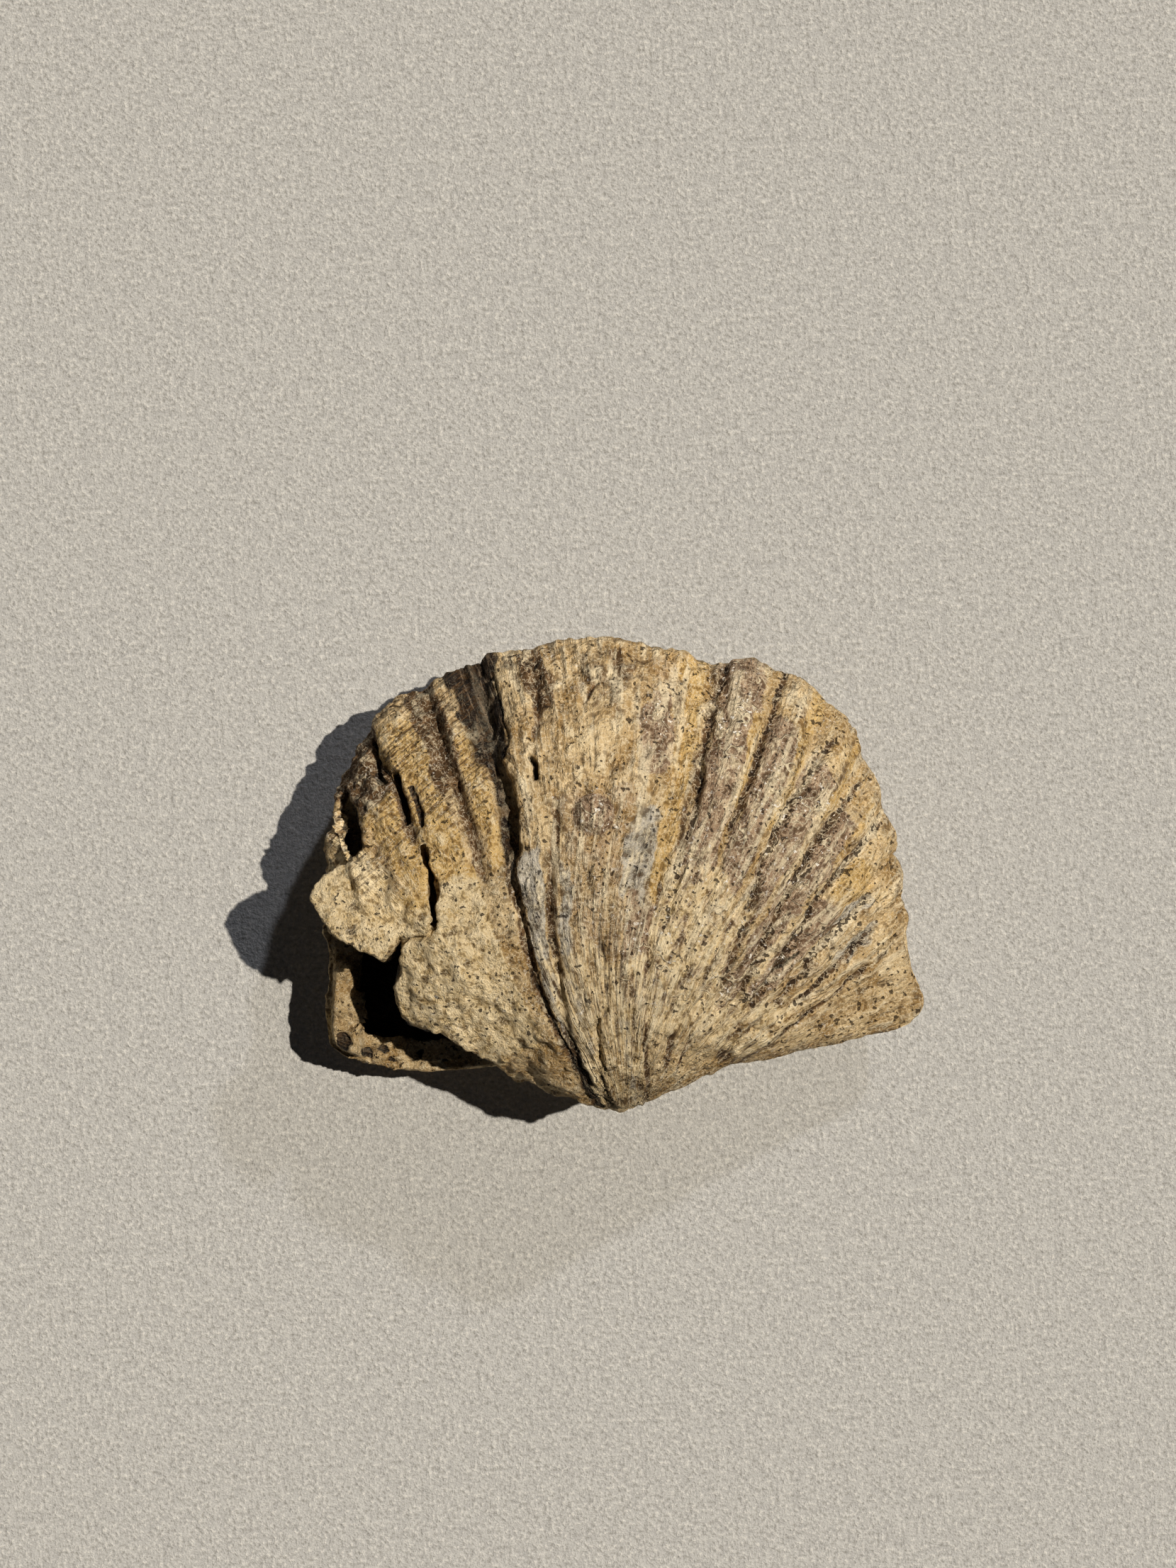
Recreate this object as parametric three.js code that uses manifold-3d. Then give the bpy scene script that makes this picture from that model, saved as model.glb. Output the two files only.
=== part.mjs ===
// Fossil brachiopod, a ribbed spiriferid shell: two valves joined and filled with stone.
// It is one natural solid, so it is one mesh. Millimetres, +Z up, +X to the shell's right,
// +Y from the hinge to the front margin. It lies on its lower valve.
import * as THREE from 'three';
import { mergeVertices } from 'three/addons/utils/BufferGeometryUtils.js';
import Module from 'manifold-3d';

const AROUND = 132;             // columns of the surface, all round the margin
const ROWS = 30;                // rows from the top of the shell to its base, an even number

const UPPER_CENTRE = new THREE.Vector2(-1, 3);   // plan points that the columns run out from,
const LOWER_CENTRE = new THREE.Vector2(0, 13);   // above and below
const COLUMN_BOW = 5.2;
const CREST_HEIGHT = 22.2;      // upper valve without its umbo and fold
const UMBO = { x: -0.5, y: 4, rise: 1.1, spread: 7 };
const FOLD_RISE = 1.6;          // the fold's height over the flanks at the front
const FOLD_LEFT = -14.5;        // fold's edges, as angles in the rib fan
const FOLD_CREST_START = -7.5;
const FOLD_CREST_END = -1;
const FOLD_RIGHT = 11;
const BASE_SINK = 0.75;         // how far the lower valve is flattened where it rests
const LOWER_SHOULDER = 2.8;
const LOWER_EDGE = 0.5;
const SULCUS_DEPTH = 2.2;       // groove of the lower valve, opposite the fold
const HINGE_HEIGHT = 8.6;
const HINGE_GROOVE = 1.3;
const LOWER_BEAK = { rise: 2.6, width: 6, height: 6.2 };

// The widest line of the shell, seen from above, from the right ear round the front:
// x, y, height, then the upper valve's shoulder (high is boxy) and edge (low is steep).
const MARGIN = [
  [28.3, 0.6, 8.5, 2.0, 1.8],
  [27.2, 5.2, 8.8, 2.1, 1.3],
  [26.9, 11.0, 9.0, 2.3, 0.9],
  [26.4, 16.6, 9.0, 2.5, 0.8],
  [24.8, 22.2, 9.0, 2.6, 0.78],
  [22.9, 27.2, 9.0, 2.8, 0.75],
  [19.4, 31.1, 9.0, 2.8, 0.75],
  [15.0, 33.6, 9.3, 2.8, 0.75],
  [10.9, 34.2, 10.4, 2.6, 0.8],
  [6.5, 35.3, 12.8, 2.6, 0.9],
  [1.0, 36.4, 14.0, 2.6, 0.9],
  [-4.5, 36.5, 13.6, 2.6, 0.9],
  [-9.3, 36.0, 12.0, 2.6, 0.85],
  [-13.4, 34.6, 10.4, 2.8, 0.75],
  [-17.6, 32.9, 10.0, 3.0, 0.7],
  [-21.6, 30.4, 10.0, 3.2, 0.65],
  [-24.0, 26.2, 10.3, 3.6, 0.6],
  [-25.9, 21.2, 11.0, 4.0, 0.6],
  [-26.6, 16.8, 10.5, 4.3, 0.55],
  [-27.3, 11.6, 9.0, 4.5, 0.5],
  [-27.5, 6.4, 8.4, 5.0, 0.4],
  [-27.9, 1.2, 8.0, 5.0, 0.35],
  [-26.0, -1.1, 8.0, 5.0, 0.4],
  [-20.5, -2.7, 8.2, 4.5, 0.5],
  [-14.5, -3.3, 10.5, 3.6, 0.6],
  [-9.0, -3.6, 14.0, 3.0, 0.7],
  [-4.6, -5.5, 16.6, 2.7, 0.8],
  [-0.5, -6.35, 17.2, 2.6, 0.85],
  [4.0, -5.1, 16.2, 2.7, 0.8],
  [9.0, -3.5, 13.2, 2.8, 0.8],
  [14.0, -3.1, 11.3, 2.6, 0.9],
  [20.0, -2.4, 9.7, 2.2, 1.15],
  [26.0, -1.4, 8.6, 2.1, 1.6],
];

// Ribs fan out from behind the beak. The fan's lines start a little apart and bow to the left.
const FAN = { y: -7.5, start: 3, bow: -2.6, bowY: 8.5, bowLength: 12.5, bowWidth: 16 };
const GROOVES = [-64, -55, -46, -37, -27.5, -18.5, -11.5, -4.5, 3, 10, 18.3, 25.8, 33.5, 40.5, 46.5,
  52.5, 58];
const RIB_HEIGHT = 1.0;         // from groove to top at the front margin
const WORN_RIGHT = 0.45;        // part of that height worn off the right flank's ribs

// The broken left rear corner, in plan. Its shell is gone down to a ledge, and a hollow goes
// down beside and under the slab that is left of the upper valve.
const LEDGE_HEIGHT = 8.0;
const SLAB_EDGE = [
  [-22.9, 9.5], [-21.2, 8.6], [-19.3, 10.9], [-19.8, 7.4], [-20.2, 4.2], [-19.3, 2.5],
  [-17.2, 1.7], [-15.5, 1.0], [-12.3, -1.2], [-10.6, -2.7], [-10.3, -4.2],
];
const CORNER_OUTSIDE = [[-11, -9], [-34, -9], [-34, 13.4], [-27.0, 12.9], [-24.4, 10.3]];
const HOLLOW = [
  [-24.7, 6.9], [-25.2, 4.1], [-25.2, 1.9], [-21.5, 0.8], [-17.0, 0.6], [-13.4, -1.2],
  [-12.0, 0.6], [-15.0, 3.6], [-17.6, 6.6], [-18.2, 10.6], [-21.6, 12.0], [-24.6, 11.0],
];
const HOLLOW_FLOOR = 4.4;
const HOLLOW_ROOT = { x: -19, y: 6, size: 0.75 };   // its floor narrows towards this plan point
const HOLLOW_ROOF = 15.5;

// A pointed piece of the shell stands out at the left, with a flat sloping top.
const SHARD = [
  [-18.6, 11.2], [-21.1, 8.6], [-24.4, 10.2], [-27.0, 12.7], [-27.6, 14.7], [-26.6, 16.3],
  [-22.6, 17.8], [-18.6, 15.5],
];
const SHARD_BOTTOM = 9.5;
const SHARD_TIP = { x: -27.6, y: 14.7, height: 19.2 };
const SHARD_SLOPE = { x: 0.135, y: -0.25 };
const SHARD_ROOT = { x: -20.5, y: 13.5, size: 0.45 };   // its foot narrows towards this plan point

// Open cracks of the left flank, as thin wedges in plan, with the height that each reaches down to.
const CRACKS = [
  { plan: [[-17.3, 19.2], [-17.2, 15.2], [-16.8, 11.2], [-15.7, 11.6], [-16.0, 15.2]], bottom: 15.5 },
  { plan: [[-24.9, 25.0], [-24.7, 21.2], [-23.9, 18.0], [-22.4, 18.6], [-23.0, 21.8]], bottom: 12.5 },
];

const SKY = 40;                 // above the whole shell

const bell = (distance, spread) => Math.exp(-((distance / spread) ** 2));

function ramp(from, to, value) {
  const t = THREE.MathUtils.clamp((value - from) / (to - from), 0, 1);
  return t * t * (3 - 2 * t);
}

// Angle in the rib fan, in degrees, and distance from its pole.
function ribFan(x, y) {
  const bowed = x - FAN.bow * bell(y - FAN.bowY, FAN.bowLength) * bell(x, FAN.bowWidth);
  const across = bowed - FAN.start * bowed / Math.hypot(bowed, FAN.start);
  const along = y - FAN.y;
  return { angle: THREE.MathUtils.radToDeg(Math.atan2(across, along)), reach: Math.hypot(across, along) };
}

// How far a rib stands out over the mean surface. Ribs grow from the beak to the margin.
function ribHeight(x, y) {
  const { angle, reach } = ribFan(x, y);
  const next = GROOVES.findIndex((groove) => groove > angle);
  if (next < 1) return 0;
  const share = (angle - GROOVES[next - 1]) / (GROOVES[next] - GROOVES[next - 1]);
  const right = 1 - WORN_RIGHT * ramp(12, 22, angle);
  const left = 1 - ramp(-13, -19, angle) * ramp(32, 24, reach);
  return -0.5 * RIB_HEIGHT * right * left * ramp(0, 42, reach) * Math.cos(2 * Math.PI * share);
}

function foldHeight(x, y) {
  const { angle, reach } = ribFan(x, y);
  const left = ramp(FOLD_LEFT, FOLD_CREST_START, angle);
  const right = 1 - ramp(FOLD_CREST_END, FOLD_RIGHT, angle);
  return FOLD_RISE * ramp(9, 32, reach) * Math.min(left, right);
}

const margin = new THREE.CatmullRomCurve3(
  MARGIN.map(([x, y, z]) => new THREE.Vector3(x, y, z)), true, 'catmullrom');
const profile = new THREE.CatmullRomCurve3(
  MARGIN.map(([, , , shoulder, edge]) => new THREE.Vector3(shoulder, edge, 0)), true, 'catmullrom');

// Columns of the front left bow outwards, so that they run along the fold's left edge.
function columnBow(rim, out) {
  return -COLUMN_BOW * ramp(5, 25, rim.y) * ramp(14, -6, rim.x) * Math.sin(Math.PI * Math.sqrt(out));
}

function upperPoint(turn, out) {
  const rim = margin.getPoint(turn);
  const { x: shoulder, y: edge } = profile.getPoint(turn);
  const x = THREE.MathUtils.lerp(UPPER_CENTRE.x, rim.x, out) + columnBow(rim, out);
  const y = THREE.MathUtils.lerp(UPPER_CENTRE.y, rim.y, out);
  const umbo = UMBO.rise * bell(x - UMBO.x, UMBO.spread) * bell(y - UMBO.y, UMBO.spread);
  const top = CREST_HEIGHT + umbo + foldHeight(x, y);
  const full = Math.max(0, 1 - out ** shoulder) ** edge;
  return new THREE.Vector3(x, y, THREE.MathUtils.lerp(rim.z, top, full));
}

function lowerPoint(turn, out) {
  const rim = margin.getPoint(turn);
  const x = THREE.MathUtils.lerp(LOWER_CENTRE.x, rim.x, out);
  const y = THREE.MathUtils.lerp(LOWER_CENTRE.y, rim.y, out);
  const full = Math.max(0, 1 - out ** LOWER_SHOULDER) ** LOWER_EDGE;
  const sulcus = SULCUS_DEPTH * bell(ribFan(x, y).angle, 9) * ramp(24, 42, y - FAN.y) * ramp(0, 0.4, full);
  const z = THREE.MathUtils.lerp(rim.z, -BASE_SINK, full) + sulcus;
  const rear = ramp(4, -1, y);
  const beak = LOWER_BEAK.rise * bell(x - UMBO.x, LOWER_BEAK.width) * bell(z - LOWER_BEAK.height, 2.6);
  const hinge = HINGE_HEIGHT + 2.6 * bell(x, 8);
  const groove = HINGE_GROOVE * bell(x, 18) * bell(z - hinge, 1.3);
  return new THREE.Vector3(x, y + rear * (groove - beak), z);
}

function shellGeometry() {
  const geometry = new THREE.SphereGeometry(1, AROUND, ROWS);
  geometry.rotateX(Math.PI / 2);
  geometry.deleteAttribute('normal');
  geometry.deleteAttribute('uv');
  const shell = mergeVertices(geometry, 1e-5);
  const points = shell.attributes.position;
  for (let i = 0; i < points.count; i += 1) {
    const turn = (Math.atan2(points.getY(i), points.getX(i)) / (2 * Math.PI) + 1) % 1;
    const out = Math.min(1, Math.hypot(points.getX(i), points.getY(i)));
    const place = points.getZ(i) >= -1e-6 ? upperPoint(turn, out) : lowerPoint(turn, out);
    points.setXYZ(i, place.x, place.y, place.z);
  }
  shell.computeVertexNormals();
  const normals = shell.attributes.normal;
  for (let i = 0; i < points.count; i += 1) {
    const place = new THREE.Vector3().fromBufferAttribute(points, i);
    const normal = new THREE.Vector3().fromBufferAttribute(normals, i);
    place.addScaledVector(normal, ribHeight(place.x, place.y));
    points.setXYZ(i, place.x, place.y, Math.max(0, place.z));
  }
  shell.deleteAttribute('normal');
  return shell;
}

// An upright prism. Its foot can be drawn in towards a plan point.
function prism(plan, bottom, top, root = { x: 0, y: 0, size: 1 }) {
  const shape = new THREE.Shape(plan.map(([x, y]) => new THREE.Vector2(x, y)));
  const geometry = new THREE.ExtrudeGeometry(shape, { depth: top - bottom, bevelEnabled: false });
  geometry.translate(0, 0, bottom);
  geometry.deleteAttribute('normal');
  geometry.deleteAttribute('uv');
  const points = geometry.attributes.position;
  for (let i = 0; i < points.count; i += 1) {
    if (points.getZ(i) < (bottom + top) / 2) {
      points.setX(i, THREE.MathUtils.lerp(root.x, points.getX(i), root.size));
      points.setY(i, THREE.MathUtils.lerp(root.y, points.getY(i), root.size));
    }
  }
  return mergeVertices(geometry, 1e-4);
}

function shardGeometry() {
  const geometry = prism(SHARD, SHARD_BOTTOM, SHARD_TIP.height, SHARD_ROOT);
  const points = geometry.attributes.position;
  for (let i = 0; i < points.count; i += 1) {
    if (points.getZ(i) < SHARD_TIP.height - 0.01) continue;
    const across = points.getX(i) - SHARD_TIP.x;
    const along = points.getY(i) - SHARD_TIP.y;
    points.setZ(i, SHARD_TIP.height + SHARD_SLOPE.x * across + SHARD_SLOPE.y * along);
  }
  return geometry;
}

const wasm = await Module();
wasm.setup();

function solid(geometry) {
  const vertProperties = new Float32Array(geometry.attributes.position.array);
  const triVerts = new Uint32Array(geometry.index.array);
  return new wasm.Manifold(new wasm.Mesh({ numProp: 3, vertProperties, triVerts }));
}

function geometryOf(manifold) {
  const mesh = manifold.getMesh();
  const geometry = new THREE.BufferGeometry();
  geometry.setAttribute('position', new THREE.BufferAttribute(mesh.vertProperties, 3));
  geometry.setIndex(new THREE.BufferAttribute(mesh.triVerts, 1));
  return geometry;
}

let body = solid(shellGeometry());
body = body.add(solid(shardGeometry()));
body = body.subtract(solid(prism([...SLAB_EDGE, ...CORNER_OUTSIDE], LEDGE_HEIGHT, SKY)));
body = body.subtract(solid(prism(HOLLOW, HOLLOW_FLOOR, HOLLOW_ROOF, HOLLOW_ROOT)));
for (const crack of CRACKS) {
  body = body.subtract(solid(prism(crack.plan, crack.bottom, SKY)));
}

const stone = new THREE.MeshStandardMaterial({ color: 0xa98d62, roughness: 0.85, metalness: 0 });
const fossil = new THREE.Mesh(geometryOf(body), stone);
fossil.name = 'brachiopod_fossil';
fossil.geometry.computeVertexNormals();

// The origin goes to the middle of the box, on the surface that the shell lies on.
fossil.geometry.computeBoundingBox();
const box = fossil.geometry.boundingBox;
const middle = box.getCenter(new THREE.Vector3());
fossil.geometry.translate(-middle.x, -middle.y, -box.min.z);

const group = new THREE.Group();
group.add(fossil);
export default group;
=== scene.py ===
"""Fossil brachiopod, a ribbed spiriferid shell filled with stone, lying on its lower valve.

The stone is modelled in millimetres from the middle of the hinge line, with +X to the whole ear,
+Y to the front margin and +Z up, and is moved into the frame, in metres, at the end.
"""
import math
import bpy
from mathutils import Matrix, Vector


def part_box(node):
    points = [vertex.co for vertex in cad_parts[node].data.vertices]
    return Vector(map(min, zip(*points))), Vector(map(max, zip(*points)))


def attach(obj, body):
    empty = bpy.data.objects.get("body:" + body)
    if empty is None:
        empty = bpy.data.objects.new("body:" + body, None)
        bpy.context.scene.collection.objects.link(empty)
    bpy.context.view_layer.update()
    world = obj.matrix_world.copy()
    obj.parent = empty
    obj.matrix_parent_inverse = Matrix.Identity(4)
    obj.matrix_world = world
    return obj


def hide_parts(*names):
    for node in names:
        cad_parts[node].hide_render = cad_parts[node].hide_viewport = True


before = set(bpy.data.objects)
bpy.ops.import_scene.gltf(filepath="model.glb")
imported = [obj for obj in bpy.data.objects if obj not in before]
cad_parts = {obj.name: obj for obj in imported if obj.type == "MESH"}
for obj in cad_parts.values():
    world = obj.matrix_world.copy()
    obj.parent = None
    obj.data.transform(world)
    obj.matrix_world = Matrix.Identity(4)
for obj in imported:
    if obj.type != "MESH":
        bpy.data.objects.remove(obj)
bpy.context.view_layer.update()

from types import SimpleNamespace

import bmesh
import bpy
import numpy as np
from mathutils import Euler, Vector, kdtree

NODE = "brachiopod_fossil"
MM = 0.001

# The left ear and the beak are the shell's lowest X and Y, so they place the hinge in the frame.
LEFT_EAR_X = -27.95
BEAK_Y = -6.35
cad_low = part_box(NODE)[0]
HINGE_X = cad_low.x / MM - LEFT_EAR_X
HINGE_Y = cad_low.y / MM - BEAK_Y


# ---------------------------------------------------------------- small tools

def ramp(low, high, value):
    """0 at low, 1 at high, with soft ends. Low may be the larger number, and then it falls."""
    t = np.clip((value - low) / (high - low), 0.0, 1.0)
    return t * t * (3.0 - 2.0 * t)


def bell(distance, spread):
    """1 at no distance, falling to about a third at the spread."""
    return np.exp(-(distance / spread) ** 2)


def mix(a, b, share):
    return a + (b - a) * share


def hash_table(seed):
    return np.random.default_rng(seed).random((32, 32, 32))


def lumps(points, size, seed):
    """Smooth noise from -1 to 1, with lumps about size mm wide. Size may be one number or three."""
    table = hash_table(seed)
    spot = points / np.asarray(size, float)
    cell = np.floor(spot).astype(int)
    share = spot - cell
    share = share * share * share * (share * (share * 6.0 - 15.0) + 10.0)
    total = np.zeros(len(points))
    for corner in np.ndindex(2, 2, 2):
        weight = np.prod(np.where(corner, share, 1.0 - share), axis=1)
        index = (cell + corner) % 32
        total += weight * table[index[:, 0], index[:, 1], index[:, 2]]
    return total * 2.0 - 1.0


def rough(points, size, seed, octaves=3, gain=0.5):
    """Noise with finer lumps on coarser ones."""
    total = np.zeros(len(points))
    strength = 1.0
    for octave in range(octaves):
        total += strength * lumps(points, np.asarray(size, float) / 2 ** octave, seed + octave)
        strength *= gain
    return total


def line_distance(x, y, path):
    """Distance in plan from each point to a chain of straight pieces."""
    best = np.full(len(x), np.inf)
    for (ax, ay), (bx, by) in zip(path[:-1], path[1:]):
        dx, dy = bx - ax, by - ay
        t = np.clip(((x - ax) * dx + (y - ay) * dy) / (dx * dx + dy * dy), 0.0, 1.0)
        best = np.minimum(best, np.hypot(x - ax - t * dx, y - ay - t * dy))
    return best


def nearest(points, others):
    """Distance from each point to the nearest of some other points."""
    tree = kdtree.KDTree(len(others))
    for index, other in enumerate(others):
        tree.insert(other, index)
    tree.balance()
    return np.array([tree.find(point)[2] for point in points])


# ---------------------------------------------------------------- the shell's form

UPPER_CENTRE = (-1.0, 3.0)       # plan points that the columns of the surface run out from
LOWER_CENTRE = (0.0, 13.0)
COLUMN_BOW = 5.2                 # columns of the front left bow out to run along the fold
CREST_HEIGHT = 22.2              # upper valve without its umbo and fold
UMBO_X, UMBO_Y, UMBO_RISE, UMBO_SPREAD = -0.5, 4.0, 1.1, 7.0
FOLD_RISE = 1.6
FOLD_LEFT, FOLD_CREST_START, FOLD_CREST_END, FOLD_RIGHT = -12.8, -9.0, -1.0, 11.0  # fan angles
BASE_SINK = 0.75                 # how far the lower valve is flattened where it rests
LOWER_SHOULDER = 2.8
LOWER_EDGE = 0.5
SULCUS_DEPTH = 2.2               # groove of the lower valve, opposite the fold
HINGE_HEIGHT = 8.6
HINGE_GROOVE = 1.3
BEAK_HIGHER = 8.6                # how much higher than the hinge the upper valve's beak is
LOWER_BEAK_RISE, LOWER_BEAK_WIDTH, LOWER_BEAK_HEIGHT = 2.6, 6.0, 6.2
AROUND, ROWS = 330, 140          # columns and rows of the first surface

# The widest line of the shell from the right ear round the front: x, y, height, then the
# upper valve's shoulder (high is boxy) and edge (low is steep).
MARGIN = np.array([
    (28.3, 0.6, 8.5, 2.0, 1.8), (27.2, 5.2, 8.8, 2.1, 1.3), (26.9, 11.0, 9.0, 2.3, 0.9),
    (26.4, 16.6, 9.0, 2.5, 0.8), (24.8, 22.2, 9.0, 2.6, 0.78), (22.9, 27.2, 9.0, 2.8, 0.75),
    (19.4, 31.1, 9.0, 2.8, 0.75), (15.0, 33.6, 9.3, 2.8, 0.75), (10.9, 34.2, 10.4, 2.6, 0.8),
    (6.5, 35.3, 12.8, 2.6, 0.9), (1.0, 36.4, 14.0, 2.6, 0.9), (-4.5, 36.5, 13.6, 2.6, 0.9),
    (-9.3, 36.0, 12.0, 2.6, 0.85), (-13.4, 34.6, 10.4, 2.8, 0.75), (-17.6, 32.9, 10.0, 3.0, 0.7),
    (-21.6, 30.4, 10.0, 3.2, 0.65), (-24.0, 26.2, 10.3, 3.6, 0.6), (-25.9, 21.2, 11.0, 4.0, 0.6),
    (-26.6, 16.8, 10.5, 4.3, 0.55), (-27.3, 11.6, 9.0, 4.5, 0.5), (-27.5, 6.4, 8.4, 5.0, 0.4),
    (-27.9, 1.2, 8.0, 5.0, 0.35), (-26.0, -1.1, 8.0, 5.0, 0.4), (-20.5, -2.7, 8.2, 4.5, 0.5),
    (-14.5, -3.3, 10.5, 3.6, 0.6), (-9.0, -3.6, 14.0, 3.0, 0.7), (-4.6, -5.5, 16.6, 2.7, 0.8),
    (-0.5, -6.35, 17.2, 2.6, 0.85), (4.0, -5.1, 16.2, 2.7, 0.8), (9.0, -3.5, 13.2, 2.8, 0.8),
    (14.0, -3.1, 11.3, 2.6, 0.9), (20.0, -2.4, 9.7, 2.2, 1.15), (26.0, -1.4, 8.6, 2.1, 1.6),
])

# The ribs fan out from behind the beak. Their lines start a little apart and bow to the left.
# Grooves are angles in the fan, in degrees from straight ahead.
FAN_Y, FAN_START = -7.5, 3.0
FAN_BOW, FAN_BOW_Y, FAN_BOW_LENGTH, FAN_BOW_WIDTH = -2.6, 8.5, 12.5, 16.0
GROOVES = np.array([-64, -55, -46, -37, -27.5, -18.5, -11.5, -4.5, 3, 10, 18.3, 25.8, 33.5,
                    40.5, 46.5, 52.5, 58])


def closed_curve(stations, turn):
    """Points of a smooth closed curve through the stations, for turns from 0 to 1."""
    count = len(stations)
    place = turn * count
    first = np.floor(place).astype(int)
    t = (place - first)[:, None]
    p0, p1, p2, p3 = (stations[(first + step) % count] for step in (-1, 0, 1, 2))
    return 0.5 * (2 * p1 + (p2 - p0) * t + (2 * p0 - 5 * p1 + 4 * p2 - p3) * t ** 2
                  + (3 * p1 - p0 - 3 * p2 + p3) * t ** 3)


def unbowed(x, y):
    """x without the bow that the ribs have over the middle of the shell."""
    return x - FAN_BOW * bell(y - FAN_BOW_Y, FAN_BOW_LENGTH) * bell(x, FAN_BOW_WIDTH)


def fan_across(straight, softness=FAN_START):
    """The fan's lines start apart, so that they are squeezed together towards its middle."""
    return straight - FAN_START * straight / np.hypot(straight, softness)


def rib_fan(x, y):
    """Angle in the rib fan, in degrees, and distance from its pole."""
    across = fan_across(unbowed(x, y))
    along = y - FAN_Y
    return np.degrees(np.arctan2(across, along)), np.hypot(across, along)


def grain_angle(x, y):
    """Like the fan's angle, but even across the middle, for grain that follows the ribs."""
    return np.degrees(np.arctan2(fan_across(unbowed(x, y), 12.0), y - FAN_Y))


def fold_height(x, y):
    """The raised middle of the upper valve, which grows towards the front."""
    angle, reach = rib_fan(x, y)
    left = ramp(FOLD_LEFT, FOLD_CREST_START, angle)
    right = 1 - ramp(FOLD_CREST_END, FOLD_RIGHT, angle)
    return FOLD_RISE * ramp(9, 32, reach) * np.minimum(left, right)


def valve_points(turn, out, upper):
    """The smooth shell: turn goes round the margin, out from a valve's top to the margin."""
    rim = closed_curve(MARGIN, turn)
    bow = -COLUMN_BOW * ramp(5, 25, rim[:, 1]) * ramp(14, -6, rim[:, 0])
    bow *= np.sin(np.pi * np.sqrt(out))
    up_x = mix(UPPER_CENTRE[0], rim[:, 0], out) + bow
    up_y = mix(UPPER_CENTRE[1], rim[:, 1], out)
    umbo = UMBO_RISE * bell(up_x - UMBO_X, UMBO_SPREAD) * bell(up_y - UMBO_Y, UMBO_SPREAD)
    top = CREST_HEIGHT + umbo + fold_height(up_x, up_y)
    up_z = mix(rim[:, 2], top, np.maximum(0, 1 - out ** rim[:, 3]) ** rim[:, 4])

    low_x = mix(LOWER_CENTRE[0], rim[:, 0], out)
    low_y = mix(LOWER_CENTRE[1], rim[:, 1], out)
    full = np.maximum(0, 1 - out ** LOWER_SHOULDER) ** LOWER_EDGE
    sulcus = SULCUS_DEPTH * bell(rib_fan(low_x, low_y)[0], 9) * ramp(24, 42, low_y - FAN_Y)
    low_z = mix(rim[:, 2], -BASE_SINK, full) + sulcus * ramp(0, 0.4, full)
    beak = LOWER_BEAK_RISE * bell(low_x - UMBO_X, LOWER_BEAK_WIDTH)
    beak *= bell(low_z - LOWER_BEAK_HEIGHT, 2.6)
    hinge = HINGE_HEIGHT + 2.6 * bell(low_x, 8)
    groove = HINGE_GROOVE * bell(low_x, 18) * bell(low_z - hinge, 1.3)
    low_y = low_y + ramp(4, -1, low_y) * (groove - beak)

    high = np.stack([up_x, up_y, up_z], axis=1)
    low = np.stack([low_x, low_y, low_z], axis=1)
    return np.where(upper[:, None], high, low)


def coordinates(mesh):
    flat = np.empty(len(mesh.vertices) * 3)
    mesh.vertices.foreach_get("co", flat)
    return flat.reshape(-1, 3)


def normals(mesh):
    flat = np.empty(len(mesh.vertices) * 3)
    mesh.vertex_normals.foreach_get("vector", flat)
    return flat.reshape(-1, 3)


def move_to(mesh, points):
    mesh.vertices.foreach_set("co", np.asarray(points, np.float32).ravel())
    mesh.update()


def new_object(name, bm):
    mesh = bpy.data.meshes.new(name)
    bm.to_mesh(mesh)
    bm.free()
    piece = bpy.data.objects.new(name, mesh)
    bpy.context.scene.collection.objects.link(piece)
    return piece


def shell_form():
    bm = bmesh.new()
    bmesh.ops.create_uvsphere(bm, u_segments=AROUND, v_segments=ROWS, radius=1.0)
    piece = new_object("shell_form", bm)
    unit = coordinates(piece.data)
    turn = (np.arctan2(unit[:, 1], unit[:, 0]) / (2 * np.pi)) % 1.0
    out = np.minimum(1.0, np.hypot(unit[:, 0], unit[:, 1]))
    move_to(piece.data, valve_points(turn, out, unit[:, 2] >= -1e-6))
    return piece


# ---------------------------------------------------------------- the broken corner and cracks

# The left rear corner has lost its shell down to a ledge, and a hollow goes down beside and
# under the slab that is left of the upper valve. A root is a plan point that a block's foot
# narrows towards, and the foot's size.
LEDGE_HEIGHT = 8.0
SLAB_EDGE = [(-22.9, 9.5), (-21.3, 8.5), (-20.6, 9.4), (-19.3, 11.1), (-19.3, 9.2), (-19.9, 7.4),
             (-20.4, 6.0), (-20.2, 4.2), (-19.3, 2.5), (-17.2, 1.7), (-15.5, 1.0), (-13.8, -0.4),
             (-12.3, -1.2), (-10.6, -2.7), (-10.3, -4.2)]
SLAB_DROP, SLAB_TILT = 4.0, 1.6  # how far the slab has sunk at the hinge, and at its left edge
CORNER_OUTSIDE = [(-11, -9), (-34, -9), (-34, 13.4), (-27.0, 12.9), (-24.4, 10.3)]
HOLLOW = [(-24.4, 6.6), (-25.6, 5.5), (-25.2, 4.2), (-25.4, 2.9), (-26.0, 1.3), (-24.6, 0.6),
          (-22.3, 0.2), (-19.6, -0.1), (-17.0, -0.2), (-13.4, -1.4), (-12.0, 0.6), (-15.0, 3.6),
          (-17.6, 6.6), (-18.2, 10.6), (-21.6, 12.0), (-24.6, 11.0)]
HOLLOW_FLOOR, HOLLOW_ROOF = 5.0, 15.5
HOLLOW_ROOT = (-19.0, 6.0, 0.87)

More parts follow.
